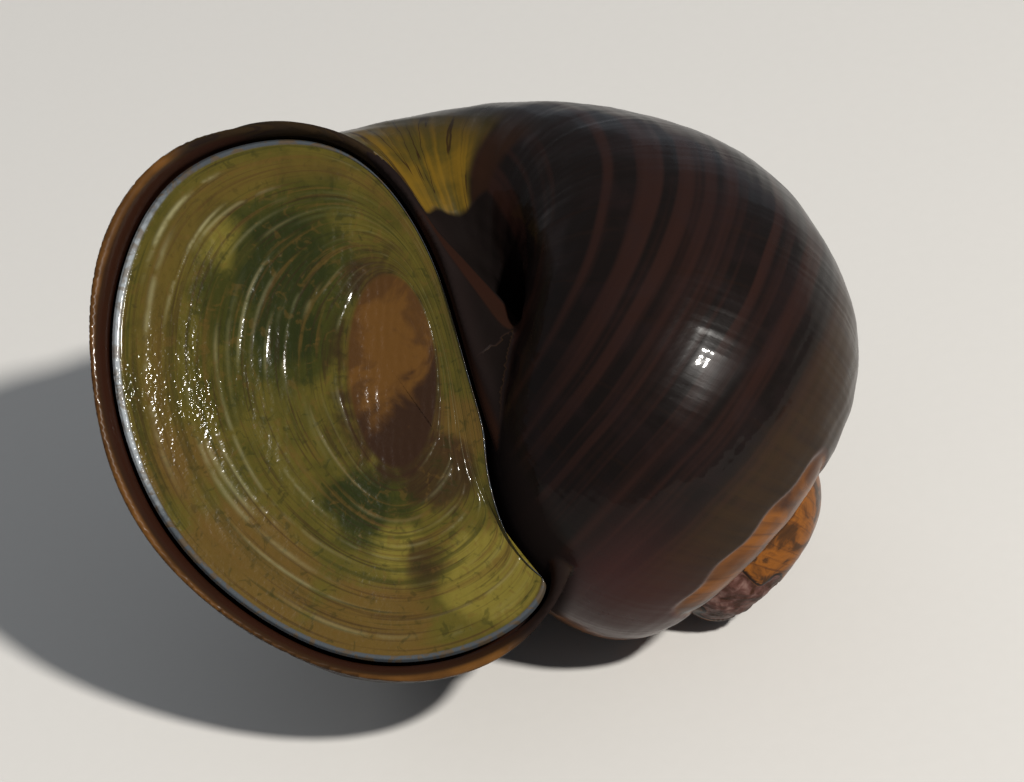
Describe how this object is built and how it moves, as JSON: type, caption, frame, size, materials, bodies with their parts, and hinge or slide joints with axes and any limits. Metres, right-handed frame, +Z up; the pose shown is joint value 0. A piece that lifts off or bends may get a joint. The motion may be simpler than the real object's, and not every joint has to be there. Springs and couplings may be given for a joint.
{
  "type": "apple snail",
  "caption": "Life-size apple snail drawn into its round, low-spired shell, lying on its back with the horny operculum shutting the mouth; a still display model.",
  "frame": {"origin": "middle of the overall box in X and Y, on the floor that the shell rests on", "axes": "+Z up; +Y away from the viewer, so the mouth of the shell faces -Y and up; +X to the viewer's right, towards the spire"},
  "size_m": [0.0586, 0.0478, 0.0438],
  "materials": {
    "worn_shell": "worn chalky shell",
    "spire_shell": "wet, partly worn",
    "dark_shell": "wet gloss",
    "lip_shell": "wet gloss",
    "operculum": "wet horn",
    "flesh": "wet skin"
  },
  "bodies": {
    "root": {"apex": "worn_shell", "spire_whorl": "spire_shell", "penultimate_whorl": "spire_shell", "body_whorl": "dark_shell", "outer_lip": "lip_shell", "inner_lip": "lip_shell", "operculum": "operculum", "foot": "flesh"}
  },
  "joints": []
}
